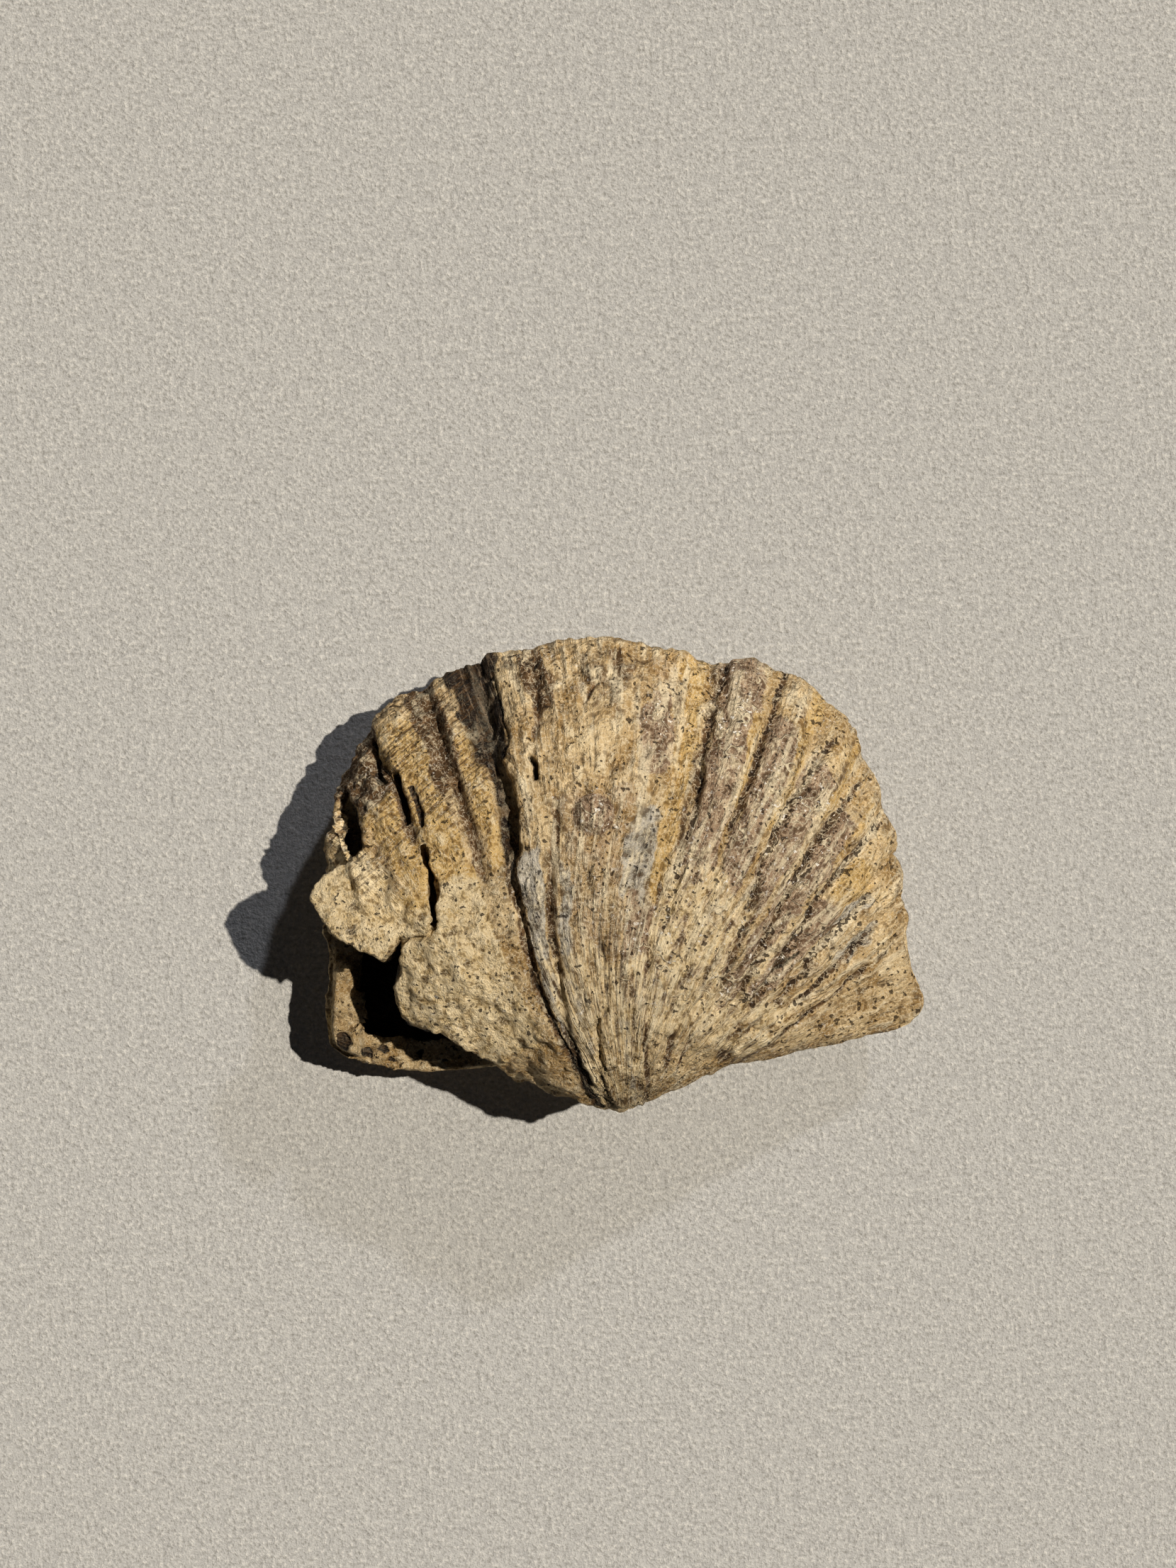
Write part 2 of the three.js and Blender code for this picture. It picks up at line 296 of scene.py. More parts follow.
# A pointed piece of the shell stands out at the left, with a flat sloping top.
SHARD = [(-18.6, 11.2), (-19.6, 10.2), (-21.1, 8.6), (-22.8, 9.1), (-24.4, 10.2), (-25.9, 11.3),
         (-27.0, 12.7), (-27.6, 14.7), (-26.6, 16.3), (-24.8, 17.3), (-22.6, 17.8), (-18.6, 15.5)]
SHARD_BOTTOM = 9.5
SHARD_TIP = (-27.6, 14.7, 19.2)
SHARD_SLOPE = (0.135, -0.25)     # rise of its top to the right and to the front
SHARD_ROOT = (-20.5, 13.5, 0.45)

# Open cracks of the left flank, in plan, with the height that each reaches down to.
CUTS = [
    ([(-17.2, 19.6), (-17.3, 17.6), (-16.8, 15.2), (-16.9, 13.2), (-17.0, 11.4), (-15.8, 11.6),
      (-16.0, 13.4), (-15.9, 15.4), (-16.6, 17.8)], 15.5),
    ([(-24.9, 25.4), (-24.9, 23.0), (-24.6, 21.2), (-24.4, 19.4), (-23.9, 18.0), (-22.4, 18.6),
      (-22.6, 20.0), (-23.2, 21.6), (-23.6, 23.6)], 12.5),
]
SKY = 40.0                       # above the whole shell
NO_ROOT = (0.0, 0.0, 1.0)
VOXEL = 0.2                      # step of the even mesh that the relief is carved in
MOST_TRIANGLES = 196000


def prism(name, outline, bottom, top, root=NO_ROOT):
    """An upright block. Its foot can be drawn in towards its root."""
    bm = bmesh.new()
    corners = [bm.verts.new((x, y, top)) for x, y in outline]
    face = bm.faces.new(corners)
    foot = bmesh.ops.extrude_face_region(bm, geom=[face])["geom"]
    moved = [part for part in foot if isinstance(part, bmesh.types.BMVert)]
    for vert in moved:
        vert.co.x = root[0] + (vert.co.x - root[0]) * root[2]
        vert.co.y = root[1] + (vert.co.y - root[1]) * root[2]
        vert.co.z = bottom
    bmesh.ops.recalc_face_normals(bm, faces=bm.faces)
    return new_object(name, bm)


def combine(piece, other, operation):
    cut = piece.modifiers.new("cut", "BOOLEAN")
    cut.operation = operation
    cut.solver = "EXACT"
    cut.object = other
    apply_modifiers(piece)
    bpy.data.objects.remove(other)


def apply_modifiers(piece):
    evaluated = piece.evaluated_get(bpy.context.evaluated_depsgraph_get())
    mesh = bpy.data.meshes.new_from_object(evaluated)
    piece.modifiers.clear()
    piece.data = mesh


def remeshed(piece):
    even = piece.modifiers.new("even", "REMESH")
    even.mode = "VOXEL"
    even.voxel_size = VOXEL
    apply_modifiers(piece)


def sloping_shard():
    tip_x, tip_y, height = SHARD_TIP
    shard = prism("shard", SHARD, SHARD_BOTTOM, height, SHARD_ROOT)
    for vert in shard.data.vertices:
        if vert.co.z > height - 0.01:
            vert.co.z += SHARD_SLOPE[0] * (vert.co.x - tip_x) + SHARD_SLOPE[1] * (vert.co.y - tip_y)
    return shard


def sunken_slab(points):
    """The broken end of the upper valve has sunk towards the hinge and the left."""
    x, y, z = points.T
    drop = SLAB_DROP * ramp(8, -2, y) * ramp(-5, -14, x)
    drop += SLAB_TILT * ramp(-15, -20, x) * ramp(12, 7, y)
    squeezed = LEDGE_HEIGHT + (z - LEDGE_HEIGHT) * (1 - drop / (CREST_HEIGHT - LEDGE_HEIGHT))
    return np.stack([x, y, np.where(z > LEDGE_HEIGHT, squeezed, z)], axis=1)


def broken_form():
    """The shell with its corner, hollow and cracks cut, and a copy of it from before the cuts."""
    piece = shell_form()
    move_to(piece.data, sunken_slab(coordinates(piece.data)))
    whole = piece.data.copy()
    combine(piece, sloping_shard(), "UNION")
    outline = SLAB_EDGE + CORNER_OUTSIDE
    combine(piece, prism("corner", outline, LEDGE_HEIGHT, SKY), "DIFFERENCE")
    combine(piece, prism("hollow", HOLLOW, HOLLOW_FLOOR, HOLLOW_ROOF, HOLLOW_ROOT), "DIFFERENCE")
    for plan, bottom in CUTS:
        combine(piece, prism("crack", plan, bottom, SKY), "DIFFERENCE")
    remeshed(piece)
    return piece, whole


# ---------------------------------------------------------------- relief

# Lines along the ribs: the stain and painted shade left in the line, points of (reach, angle) in
# the rib fan from the beak outwards, half width and depth in millimetres. What is left in a line
# is partly the stone's own stain and partly painted shade of the groove that it cuts.
CHANNELS = [
    # The fold's left edge: partly dark shell and partly painted shade of its steep left-facing
    # wall.
    ("black", [(25, -12.2), (30, -11.7), (34, -12.3), (39, -12.3), (50, -12.0)], 0.9, 1.2),
    ("black", [(34, -12.4), (40, -12.4), (50, -12.2)], 2.0, 0.9),
    ("umber", [(0.5, -16), (3, -11), (8, -12.3), (12, -13.4), (16, -12.6), (20, -12.0),
               (26, -12.2)], 0.42, 0.7),
    ("umber", [(0.5, -9), (4, -8.6), (7, -8.2), (10, -6.2), (14, -4.4), (20, -4.3), (26, -3.8),
               (30, -3)], 0.45, 0.7),
    ("black", [(0.5, -12), (4, -10.4), (9, -11.9), (14, -12.9)], 0.25, 0.5),
    ("black", [(0.5, -7), (4, -8.0), (8, -7.5), (12, -5.4)], 0.28, 0.6),
    ("black", [(0.5, -2), (4, -0.8), (8, -0.2), (12, 0.2), (17, 0.2)], 0.28, 0.6),
    ("umber", [(0.5, 6), (4, 4.2), (9, 4.6), (13, 4.2)], 0.25, 0.45),
    ("umber", [(0.5, 13), (4, 9.6), (9, 8.8), (16, 9.4), (22, 8.8)], 0.28, 0.4),
    ("umber", [(24, -18.4), (30, -18.8), (34, -19.0), (38, -18.8), (50, -18.2)], 0.6, 0.8),
    ("umber", [(30, -28.4), (33, -28.4), (35, -27.4), (39, -28.0), (50, -27.4)], 0.5, 0.8),
    ("umber", [(35.5, -5.9), (37, -5.3), (41, -5.1), (50, -4.6)], 0.45, 0.75),
    ("umber", [(38, -0.4), (40, 0.0), (43, 0.3)], 0.3, 0.8),
    ("clay", [(20, 9.6), (22, 8.2), (25, 7.4), (30, 7.5), (36, 8.0), (50, 9.6)], 1.0, 0.5),
    ("umber", [(18, 12.4), (25, 11.2), (29, 11.0), (33, 10.4), (37, 10.6), (42, 12.2),
               (50, 13)], 0.35, 0.5),
    ("umber", [(27, 18.2), (34, 18.6), (38, 19.2), (50, 19.8)], 0.35, 0.5),
    ("umber", [(12, 36), (14, 34), (17, 31.5), (20, 30.5), (23, 28.2), (27, 26.2), (31, 26.5),
               (35, 27.5), (38, 28.2)], 0.35, 0.5),
    ("umber", [(9, 45), (13, 41), (17, 38.3), (21, 35.6), (25, 34.2), (29, 33.5), (33, 34.5),
               (36, 35)], 0.35, 0.5),
    ("umber", [(8, 51), (11, 47.6), (15, 45), (18, 43), (21, 41.3), (25, 40.2), (31, 40.3),
               (34, 40.6)], 0.4, 0.5),
    ("umber", [(8, 54), (12, 51), (15, 50.6), (18, 49.6), (20, 48.6), (24, 47.4),
               (28, 47.9)], 0.3, 0.45),
    ("umber", [(8, 58), (12, 56.2), (16, 55.5), (20, 54.1), (23, 53.7), (26, 53.3)], 0.3, 0.45),
    ("umber", [(9, 62), (14, 60), (20, 59.3), (24, 58.6)], 0.25, 0.35),
    ("umber", [(5, 22), (10, 21), (16, 20.2)], 0.25, 0.3),
    ("umber", [(5, 31), (10, 30), (14, 28.6)], 0.25, 0.3),
]

# Short open cracks of the upper valve, in plan, with half width and depth. They are painted
# black as the shade inside them.
SPLITS = [
    ([(-21.9, 28.6), (-21.4, 27.0), (-21.4, 25.9), (-20.8, 24.9)], 0.25, 1.2),
    ([(-19.5, 25.4), (-19.2, 24.0), (-18.9, 22.8), (-18.6, 21.2)], 0.25, 1.5),
    ([(-6.9, 26.1), (-6.5, 25.4), (-6.6, 24.3)], 0.17, 1.4),
    ([(14.1, 5.2), (15.3, 6.2), (16.4, 6.8)], 0.16, 0.8),
    ([(-17.0, 20.6), (-17.6, 22.6), (-17.9, 24.0)], 0.2, 0.6),
    ([(-16.4, 11.4), (-17.2, 10.5), (-18.4, 10.3), (-19.4, 10.2)], 0.12, 0.7),
]

# Tints of the upper valve between two angles and two reaches of the rib fan, with a strength.
# Some are partly painted shade of steep left-facing slopes, as marked.
PATCHES = [
    ("shell", 10.8, 17.4, 11, 46, 1.0), ("shell", 18.8, 24.2, 11, 39, 1.0),
    ("shell", 26.0, 31.6, 12, 35, 1.0), ("shell", 33.2, 38.6, 12, 33, 0.9),
    ("shell", 40.0, 46.5, 14, 24.5, 0.7), ("shell", 47.5, 53.0, 14, 22, 0.4),
    ("shell", 1.8, 5.2, 31.5, 38.5, 1.0), ("shell", 2.5, 9.5, 11, 20.5, 0.9),
    ("shell", -3.0, 2.5, 9, 31, 0.45), ("shell", 0.5, 9.0, 38.5, 43, 0.4),
    ("clay", 16.8, 18.4, 29, 39, 0.8), ("clay", 23.4, 25.6, 27, 42, 0.8),
    ("clay", 31.0, 32.8, 31, 41, 0.8), ("clay", 41.2, 46.2, 25.2, 29.8, 0.9),
    ("clay", 37.6, 39.4, 27, 36, 0.6), ("clay", -2.5, 0.5, 34, 44, 0.3),
    ("grey", -10.4, -5.6, 3, 25.5, 0.95), ("grey", -2.8, -0.7, 5, 24, 0.7),
    ("grey", 1.5, 6.5, 20, 26.5, 0.9), ("grey", 0.9, 3.6, 1.5, 10, 0.8),
    ("grey", -5.5, -2.0, 1.5, 9, 0.5),
    ("grey", 46.2, 48.6, 22, 28.5, 0.9), ("grey", 52.0, 54.0, 22.5, 26.5, 0.9),
    ("umber", -21.2, -17.0, 33.5, 46, 1.0), ("umber", -30, -27.0, 36, 46, 0.85),
    # Partly stain and partly painted shade of the left flank's lumps.
    ("umber", -36, -29.5, 35.5, 42, 0.85),
    ("umber", -6.3, -3.2, 38.5, 44, 0.9), ("umber", -1.2, 0.9, 38, 43, 0.55),
    ("umber", 10.0, 12.6, 33, 41, 0.55),
    # Partly stain and partly painted shade of the grooves beside the fold.
    ("umber", -13.8, -10.8, 14, 26, 0.75), ("umber", -5.4, -2.8, 11, 25, 0.6),
    ("umber", 8.9, 10.4, 25, 37, 0.65), ("clay", 6.2, 8.8, 21, 43, 1.0),
    # Partly the dark shell and partly painted shade of the fold's steep left-facing edge.
    ("black", -15.4, -9.4, 37.5, 46, 1.0), ("black", -12.8, -10.6, 27, 35, 0.9),
    ("pale", -52, -36, 22.5, 34, 0.75), ("pale", -72, -20, 9, 25, 0.72),
    ("pale", 9, 31, 9, 23, 0.54), ("pale", -9, 9, 0, 16, 0.5),
    ("pale", 29, 60, 9, 16, 0.5),
    ("clay", -72, -20, 9, 27, 0.9), ("clay", -34, -21, 27, 41, 0.8),
    ("clay", -17, -13.5, 24, 38, 0.7),
]

# Dark holes in the ledge of the broken corner: plan place and radius.
LEDGE_HOLES = [(-25.9, 0.8, 0.6), (-24.2, -0.4, 0.6), (-22.6, -0.5, 0.35), (-21.6, -1.7, 0.6),
               (-20.7, -1.6, 0.4), (-19.3, -0.9, 0.5), (-17.0, -1.9, 0.45), (-26.3, 3.6, 0.3)]
NODULE = (-1.6, 20.6)            # a round knob on the fold
COBBLE = (-9.3, 26.4)            # a swelling on the fold's left edge
NICK = (25.9, 20.6)              # a small piece is out of the margin here

# Stains and painted shade, and what else the stone's finish needs to know of each point of it.
STAINS_AND_SHADE = ("shell", "clay", "grey", "umber", "black", "pale")
GUIDES = ("fan_angle", "fan_reach", "striae", "ribbed", "lined", "ear", "drawn", "pitted")


def bent(angle, reach):
    """The ribs of the right flank leave the beak more sideways than the fan's lines."""
    return angle - 7 * bell(angle - 38, 12) * ramp(26, 11, reach)


def rib_relief(angle, reach, border, upper):
    """Round ribs on the right, broad stepped ones on the left, and low ones on the fold."""
    angle = bent(angle, reach)
    rib = np.clip(np.searchsorted(GROOVES, angle) - 1, 0, len(GROOVES) - 2)
    share = np.clip((angle - GROOVES[rib]) / (GROOVES[rib + 1] - GROOVES[rib]), 0, 1)
    round_top = 1 - np.abs(2 * share - 1) ** 2
    stepped = ramp(0, 0.2, share) * (1 - 0.8 * ramp(0.5, 1.0, share))
    left = ramp(-12.5, -13.5, angle)
    top = mix(round_top, stepped, left)
    full = np.maximum(ramp(24, 32, reach), ramp(24, 34, angle))
    right = 0.5 * ramp(8, 11, angle) * mix(0.45, 1.0, full)
    right *= mix(1.2, mix(0.1, 1.0, ramp(0.8, 6, border)), upper)
    step = (0.35 * ramp(26, 33, reach) * mix(0.3, 1.0, ramp(0.5, 4, border))
            - 0.3 * ramp(30, 22, reach))
    height = 0.3 + right + left * step
    height *= 1 - ramp(-32, -37, angle) * ramp(37, 33, reach)
    ends = ramp(60, 55, angle) * ramp(-64, -58, angle)
    return ends * height * ramp(0, 40, reach) ** 0.8 * (top - 0.5)


def channel_closeness(x, y, reach, path, half_width, wander):
    """1 on a line of the fan, falling to 0 at its sides and past its ends."""
    reaches = [point[0] for point in path]
    line = np.radians(np.interp(reach, reaches, [point[1] for point in path]))
    table = np.linspace(-40, 40, 2001)
    straight = np.interp(reach * np.sin(line), fan_across(table), table)
    distance = np.hypot(unbowed(x, y) + wander - straight, y - FAN_Y - reach * np.cos(line))
    ends = (ramp(reaches[0] - 1.2, reaches[0] + 1, reach)
            * ramp(reaches[-1] + 1.2, reaches[-1] - 1, reach))
    return bell(distance, half_width) * ends


def seam_line():
    """Points of the line where the two valves meet."""
    seam = closed_curve(MARGIN[:, :3], np.linspace(0, 1, 1200, endpoint=False))
    seam[:, 2] += 0.35 * lumps(seam, 2.0, 171)
    return seam


def inside_plan(x, y, outline):
    """Whether each point lies inside a closed outline, seen from above."""
    inside = np.zeros(len(x), bool)
    for (ax, ay), (bx, by) in zip(outline, outline[1:] + outline[:1]):
        if ay != by:
            inside ^= ((ay > y) != (by > y)) & (x < ax + (y - ay) * (bx - ax) / (by - ay))
    return inside


def plan_margin():
    curve = closed_curve(MARGIN, np.linspace(0, 1, 200, endpoint=False))[:, :2]
    return np.vstack([curve, curve[:1]])


def rib_streaks(angle, reach, width, length, seed, octaves=2):
    """Noise drawn out along the ribs, width mm across them and length mm along."""
    around = np.radians(angle) * np.maximum(reach, 6)
    even = mix(np.radians(angle) * 22, around, 0.3)
    spot = np.stack([even / width, reach / length, 0 * angle], axis=1)
    return rough(spot, 1.0, seed, octaves)


def survey(mesh, whole):
    """Where each point of the stone is, and what it belongs to, as numbers from 0 to 1."""
    points = coordinates(mesh)
    normal = normals(mesh)
    x, y, z = points.T
    angle, reach = rib_fan(x, y)
    broken = ramp(0.5, 1.0, nearest(points, [vert.co for vert in whole.vertices]))
    intact = 1 - broken
    hinge_rim = HINGE_HEIGHT + BEAK_HIGHER * bell(x - UMBO_X, 10)
    hinge_face = ramp(2, -1, y) * ramp(hinge_rim + 0.2, hinge_rim - 1.0, z)
    facing_up = normal[:, 2]
    return SimpleNamespace(
        points=points, normal=normal, x=x, y=y, z=z, angle=angle, reach=reach,
        grain=grain_angle(x, y),
        border=line_distance(x, y, plan_margin()),
        facing_up=facing_up, broken=broken, intact=intact, hinge_face=hinge_face,
        upper=ramp(-0.35, 0.1, facing_up) * intact * (1 - hinge_face),
        fan_area=ramp(-13.5, -12.5, angle) * ramp(64, 58, angle),
        smooth_left=ramp(-12.5, -14, angle) * ramp(28, 24, reach),
        ledge=broken * ramp(6.8, 7.6, z) * ramp(9.5, 8.6, z) * ramp(0.2, 0.7, facing_up),
    )


def deepen(stain_and_shade, name, share):
    """Raises a stain or painted shade at each point to at least its share."""
    stain_and_shade[name] = np.maximum(stain_and_shade[name], share)


def lines_and_splits(at, stain_and_shade):
    """Colours the lines with stain and painted shade, paints the splits black as shade, and gives
    how deep each point is cut by them.
    """
    worn_rim = mix(1.0, ramp(0.5, 5, at.border),
                   np.maximum(ramp(16, 24, at.angle), ramp(4, 0, at.angle)))
    wander = 0.25 * rough(at.points, 2.4, 41, 3, 0.6)
    cut = np.zeros(len(at.x))
    for kind, path, half_width, depth in CHANNELS:
        near = channel_closeness(at.x, at.y, at.reach, path, half_width, wander)
        deepen(stain_and_shade, "pitted", near * ramp(9, 11, at.angle) * ramp(12, 18, at.reach))
        # The line's colour is partly stain and partly painted shade of its groove.
        deepen(stain_and_shade, kind, near * 0.9)
        cut = np.maximum(cut, depth * near * mix(0.3, 1.0, worn_rim))
    for path, half_width, depth in SPLITS:
        distance = line_distance(at.x + wander, at.y, path)
        near = ramp(half_width * 1.9, half_width * 0.8, distance) * ramp(10, 12, at.z)
        # Painted shade: each split is coloured black inside.
        deepen(stain_and_shade, "black", near)
        cut = np.maximum(cut, depth * near)
    return cut


def patches(at, stain_and_shade):
    """Tints the upper valve in ragged patches, some of them partly painted shade, and coats the
    right flank's margin with clay.
    """
    angle = at.angle + 0.9 * rough(at.points, 3.0, 51, 3)
    reach = at.reach + 1.6 * rough(at.points, 3.0, 61, 3)
    for kind, left, right, near, far, strength in PATCHES:
        inside = ramp(left - 0.8, left + 0.8, angle) * ramp(right + 0.8, right - 0.8, angle)
        inside *= ramp(near - 1, near + 1, reach) * ramp(far + 1, far - 1, reach)
        deepen(stain_and_shade, kind, inside * strength)
    coat = ramp(5.0, 3.2, at.border + 0.8 * rough(at.points, 3.0, 71, 2))
    coat *= ramp(20, 26, at.angle) * ramp(66, 58, at.angle)
    deepen(stain_and_shade, "clay", 0.38 * coat)
    stain_and_shade["shell"] *= 1 - coat


def grain_relief(at):
    """Growth lines and grains, drawn along the ribs where the shell is left."""
    height = 0.18 * at.fan_area * rib_streaks(at.grain, at.reach, 0.9, 5.0, 101) * at.upper
    grooves = np.abs(rib_streaks(at.grain, at.reach, 1.6, 9.0, 105, 3))
    height -= 0.30 * at.fan_area * at.upper * ramp(0.12, 0.0, grooves)
    striped = rib_streaks(at.grain, at.reach, 1.8, 6.0, 111, 3)
    height += 0.22 * ramp(-13, -14, at.angle) * striped * at.upper * (1 - at.smooth_left)
    height += 0.14 * rough(at.points, 4.0, 11, 3) * at.intact
    height += at.smooth_left * 0.24 * rough(at.points, 1.8, 91, 3, 0.6) * at.upper
    height += at.broken * 0.38 * rough(at.points, 2.6, 21, 4, 0.55)
    crumbs = mix(0.10, 0.15, at.upper * ramp(10, 5, at.angle))
    height += crumbs * rough(at.points, 1.1, 31, 2, 0.7)
    front = ramp(6, 2, at.border) * ramp(-38, -30, at.angle) * ramp(16, 10, at.angle) * at.intact
    height += 0.28 * front * rough(at.points, 1.8, 131, 3, 0.6)
    height += 0.06 * lumps(at.points, 0.55, 35)
    left_lumps = ramp(-23, -37, at.angle) * ramp(26, 31, at.reach) * at.upper
    return height + left_lumps * 0.75 * rough(at.points, 2.8, 121, 3, 0.6)


def features(at, stain_and_shade):
    """The nodule, the cobble, the nick, the hinge face's lines and the seam of the valves."""
    from_nodule = np.hypot(at.x - NODULE[0], at.y - NODULE[1])
    height = (0.75 * ramp(1.9, 1.1, from_nodule) - 0.25 * bell(from_nodule - 2.1, 0.35)) * at.upper
    deepen(stain_and_shade, "shell", ramp(2.2, 1.6, from_nodule))
    height += 0.9 * bell(np.hypot(at.x - COBBLE[0], at.y - COBBLE[1]), 1.5) * at.upper
    height -= 0.5 * bell(np.hypot(at.x - NICK[0], at.y - NICK[1]), 0.6) * ramp(6, 8, at.z)
    bands = rough(at.points, (8.0, 8.0, 0.7), 161, 2)
    height += 0.14 * at.hinge_face * at.intact * ramp(7, 8.5, at.z) * bands
    return height - 0.35 * bell(nearest(at.points, seam_line()), 0.3) * at.intact


def broken_corner(at, stain_and_shade):
    """The ledge's raised left end and its dark holes, and the hollow behind it and the low or steep
    broken faces, painted black as shade.
    """
    raised = at.ledge * ramp(-24.0, -25.0, at.x) * ramp(8.4, 7.0, at.y)
    height = raised * (1.9 + 0.5 * rough(at.points, 1.4, 141, 2))
    ragged = 0.6 * rough(at.points, 1.1, 151, 3)
    holes = np.zeros(len(at.x))
    for hole_x, hole_y, radius in LEDGE_HOLES:
        gap = np.hypot(at.x - hole_x, at.y - hole_y) + ragged
        holes = np.maximum(holes, ramp(radius * 1.35, radius * 0.75, gap))
    holes *= at.ledge
    # Painted shade: the hollow, and the broken faces that are low or steep, are coloured black.
    deep = (at.z < LEDGE_HEIGHT - 0.5) | (at.facing_up < 0.2)
    shaded_pit_wall = inside_plan(at.x, at.y, HOLLOW) & (at.z < LEDGE_HEIGHT - 0.2)
    painted_shade_break = at.broken * ramp(17, 15.5, at.z) * deep * (1 - at.ledge)
    deepen(stain_and_shade, "black", np.maximum(np.maximum(painted_shade_break, at.broken * shaded_pit_wall), holes))
    deepen(stain_and_shade, "umber", at.ledge * (0.12 + 0.15 * ramp(-23, -25, at.x)))
    deepen(stain_and_shade, "pale", at.broken * ramp(16.5, 18.0, at.z) * ramp(0.1, 0.5, at.facing_up))
    return height - 0.5 * holes


def carved_stone():
    """The stone with its relief, and its stains, painted shade and guides as attributes, thinned at
    the end.
    """
    piece, whole = broken_form()
    mesh = piece.data
    at = survey(mesh, whole)
    bpy.data.meshes.remove(whole)

    stain_and_shade = {name: np.zeros(len(at.x)) for name in STAINS_AND_SHADE + GUIDES}
    cut = lines_and_splits(at, stain_and_shade)
    patches(at, stain_and_shade)
    height = rib_relief(at.angle, at.reach, at.border, at.upper) * at.intact
    height -= cut * mix(0.25, 1.0, at.upper) * mix(0.25, 1.0, ramp(1, 6, at.reach)) * at.intact
    height += grain_relief(at) + features(at, stain_and_shade)
    for name in STAINS_AND_SHADE + ("pitted",):
        stain_and_shade[name] *= at.upper
    height += broken_corner(at, stain_and_shade)
    height *= 1 - ramp(0.5, 0.05, at.z)
    points = at.points + at.normal * height[:, None]
    points[:, 2] = np.maximum(points[:, 2], 0)

    rim_dirt = (ramp(2.2, 0.6, at.border + 0.5 * rough(at.points, 1.5, 181, 2))
                * ramp(20, 30, at.angle))
    deepen(stain_and_shade, "umber", 0.42 * rim_dirt * at.upper)
    near_beak = ramp(28, 14, at.reach) * ramp(9, 5, at.angle)
    stain_and_shade["fan_angle"] = at.grain
    stain_and_shade["fan_reach"] = at.reach
    stain_and_shade["striae"] = at.upper * ramp(-12, -14, at.angle) * ramp(27, 31, at.reach)
    stain_and_shade["ribbed"] = at.upper * at.fan_area
    stain_and_shade["lined"] = at.upper * at.fan_area * mix(0.3, 0.8, near_beak)
    stain_and_shade["ear"] = at.upper * ramp(60, 64, at.angle)
    stain_and_shade["drawn"] = at.upper * (1 - at.smooth_left) * ramp(5, 9, at.reach)
    for name, values in stain_and_shade.items():
        field = mesh.attributes.new(name, "FLOAT", "POINT")
        field.data.foreach_set("value", np.asarray(values, np.float32))

    move_to(mesh, (points + (HINGE_X, HINGE_Y, 0.0)) * MM)
    thin = piece.modifiers.new("thin", "DECIMATE")
    thin.ratio = MOST_TRIANGLES / sum(len(face.vertices) - 2 for face in mesh.polygons)
    apply_modifiers(piece)
    piece.data.shade_smooth()
    piece.name = "stone"
    return piece


# ---------------------------------------------------------------- materials

DULL = 0.2                       # specular level of card and of weathered stone
CARD_GRAIN = 0.2                 # height of the card's pressed grain, in millimetres
STONE_GRAIN = 1.6                # height of the stone's finest relief, in millimetres
STONE_DARK, STONE_PALE = "#ad8c59", "#e0c698"
RAGGED = 1.6                     # how far the rock's noise moves the edge of a stain

# Stains and painted shade in the order that they lie on the stone: name, light and dark colour,
# and how much the rock's noise eats into the edge.
TINTS = [
    ("shell", "#b89c7e", "#7b6450", 0.7),
    ("clay", "#dcbb7e", "#ba975a", 0.8),
    ("grey", "#d0c8b8", "#8c8474", 0.9),
    ("umber", "#806343", "#453321", 1.0),
    # Black: partly dark stain, partly painted shade of the hollow, the cracks, the grooves and the
    # steep left-facing slopes.
    ("black", "#2b2018", "#0d0907", 0.5),
    ("pale", "#fce6ba", "#e0c48f", 1.0),
]

RANGE = "ShaderNodeMapRange"     # its inputs: value, low end, high end, what the two ends become
MATH = "ShaderNodeMath"
MIX = "ShaderNodeMix"
NOISE = "ShaderNodeTexNoise"
MAPPING = "ShaderNodeMapping"

# Sockets of a mix node that mixes colours, and of one that mixes numbers.
SHARE, COLOUR_BELOW, COLOUR_ABOVE, COLOUR_OUT = 0, 6, 7, 2
NUMBER_BELOW, NUMBER_ABOVE = 2, 3


def linear(hex_colour):
    """An sRGB hex colour as linear RGBA."""
    channels = [int(hex_colour[i:i + 2], 16) / 255 for i in (1, 3, 5)]
    return [c / 12.92 if c <= 0.04045 else ((c + 0.055) / 1.055) ** 2.4 for c in channels] + [1.0]


def add(tree, kind, inputs=(), output=0, **settings):
    """Adds a node with its settings and gives one of its outputs. Inputs are a list in the
    node's own order or a dict by socket, of other nodes' outputs, numbers or hex colours."""
    node = tree.nodes.new(kind)
    for name, value in settings.items():
        setattr(node, name, value)
    for key, value in inputs.items() if isinstance(inputs, dict) else enumerate(inputs):
        if isinstance(value, bpy.types.NodeSocket):
            tree.links.new(value, node.inputs[key])
        elif isinstance(value, str):
            node.inputs[key].default_value = linear(value)
        else:
            node.inputs[key].default_value = value
    return node.outputs[output]


def grains(tree, rows):
    """Noises by name. Each row has a name, the place it runs over, the width of its lumps there,
    a turn in degrees, its detail and its roughness."""
    found = {}
    for name, place, widths, turn, detail, roughness in rows:
        spot = add(tree, MAPPING, {"Vector": place, "Rotation": (0.0, 0.0, math.radians(turn)),
                                   "Scale": widths}, vector_type="TEXTURE")
        found[name] = add(tree, NOISE, {"Vector": spot, "Scale": 1.0, "Detail": detail,
                                        "Roughness": roughness})
    return found


def wide(millimetres):
    """The same width every way, for a place in metres."""
    return (millimetres * MM,) * 3


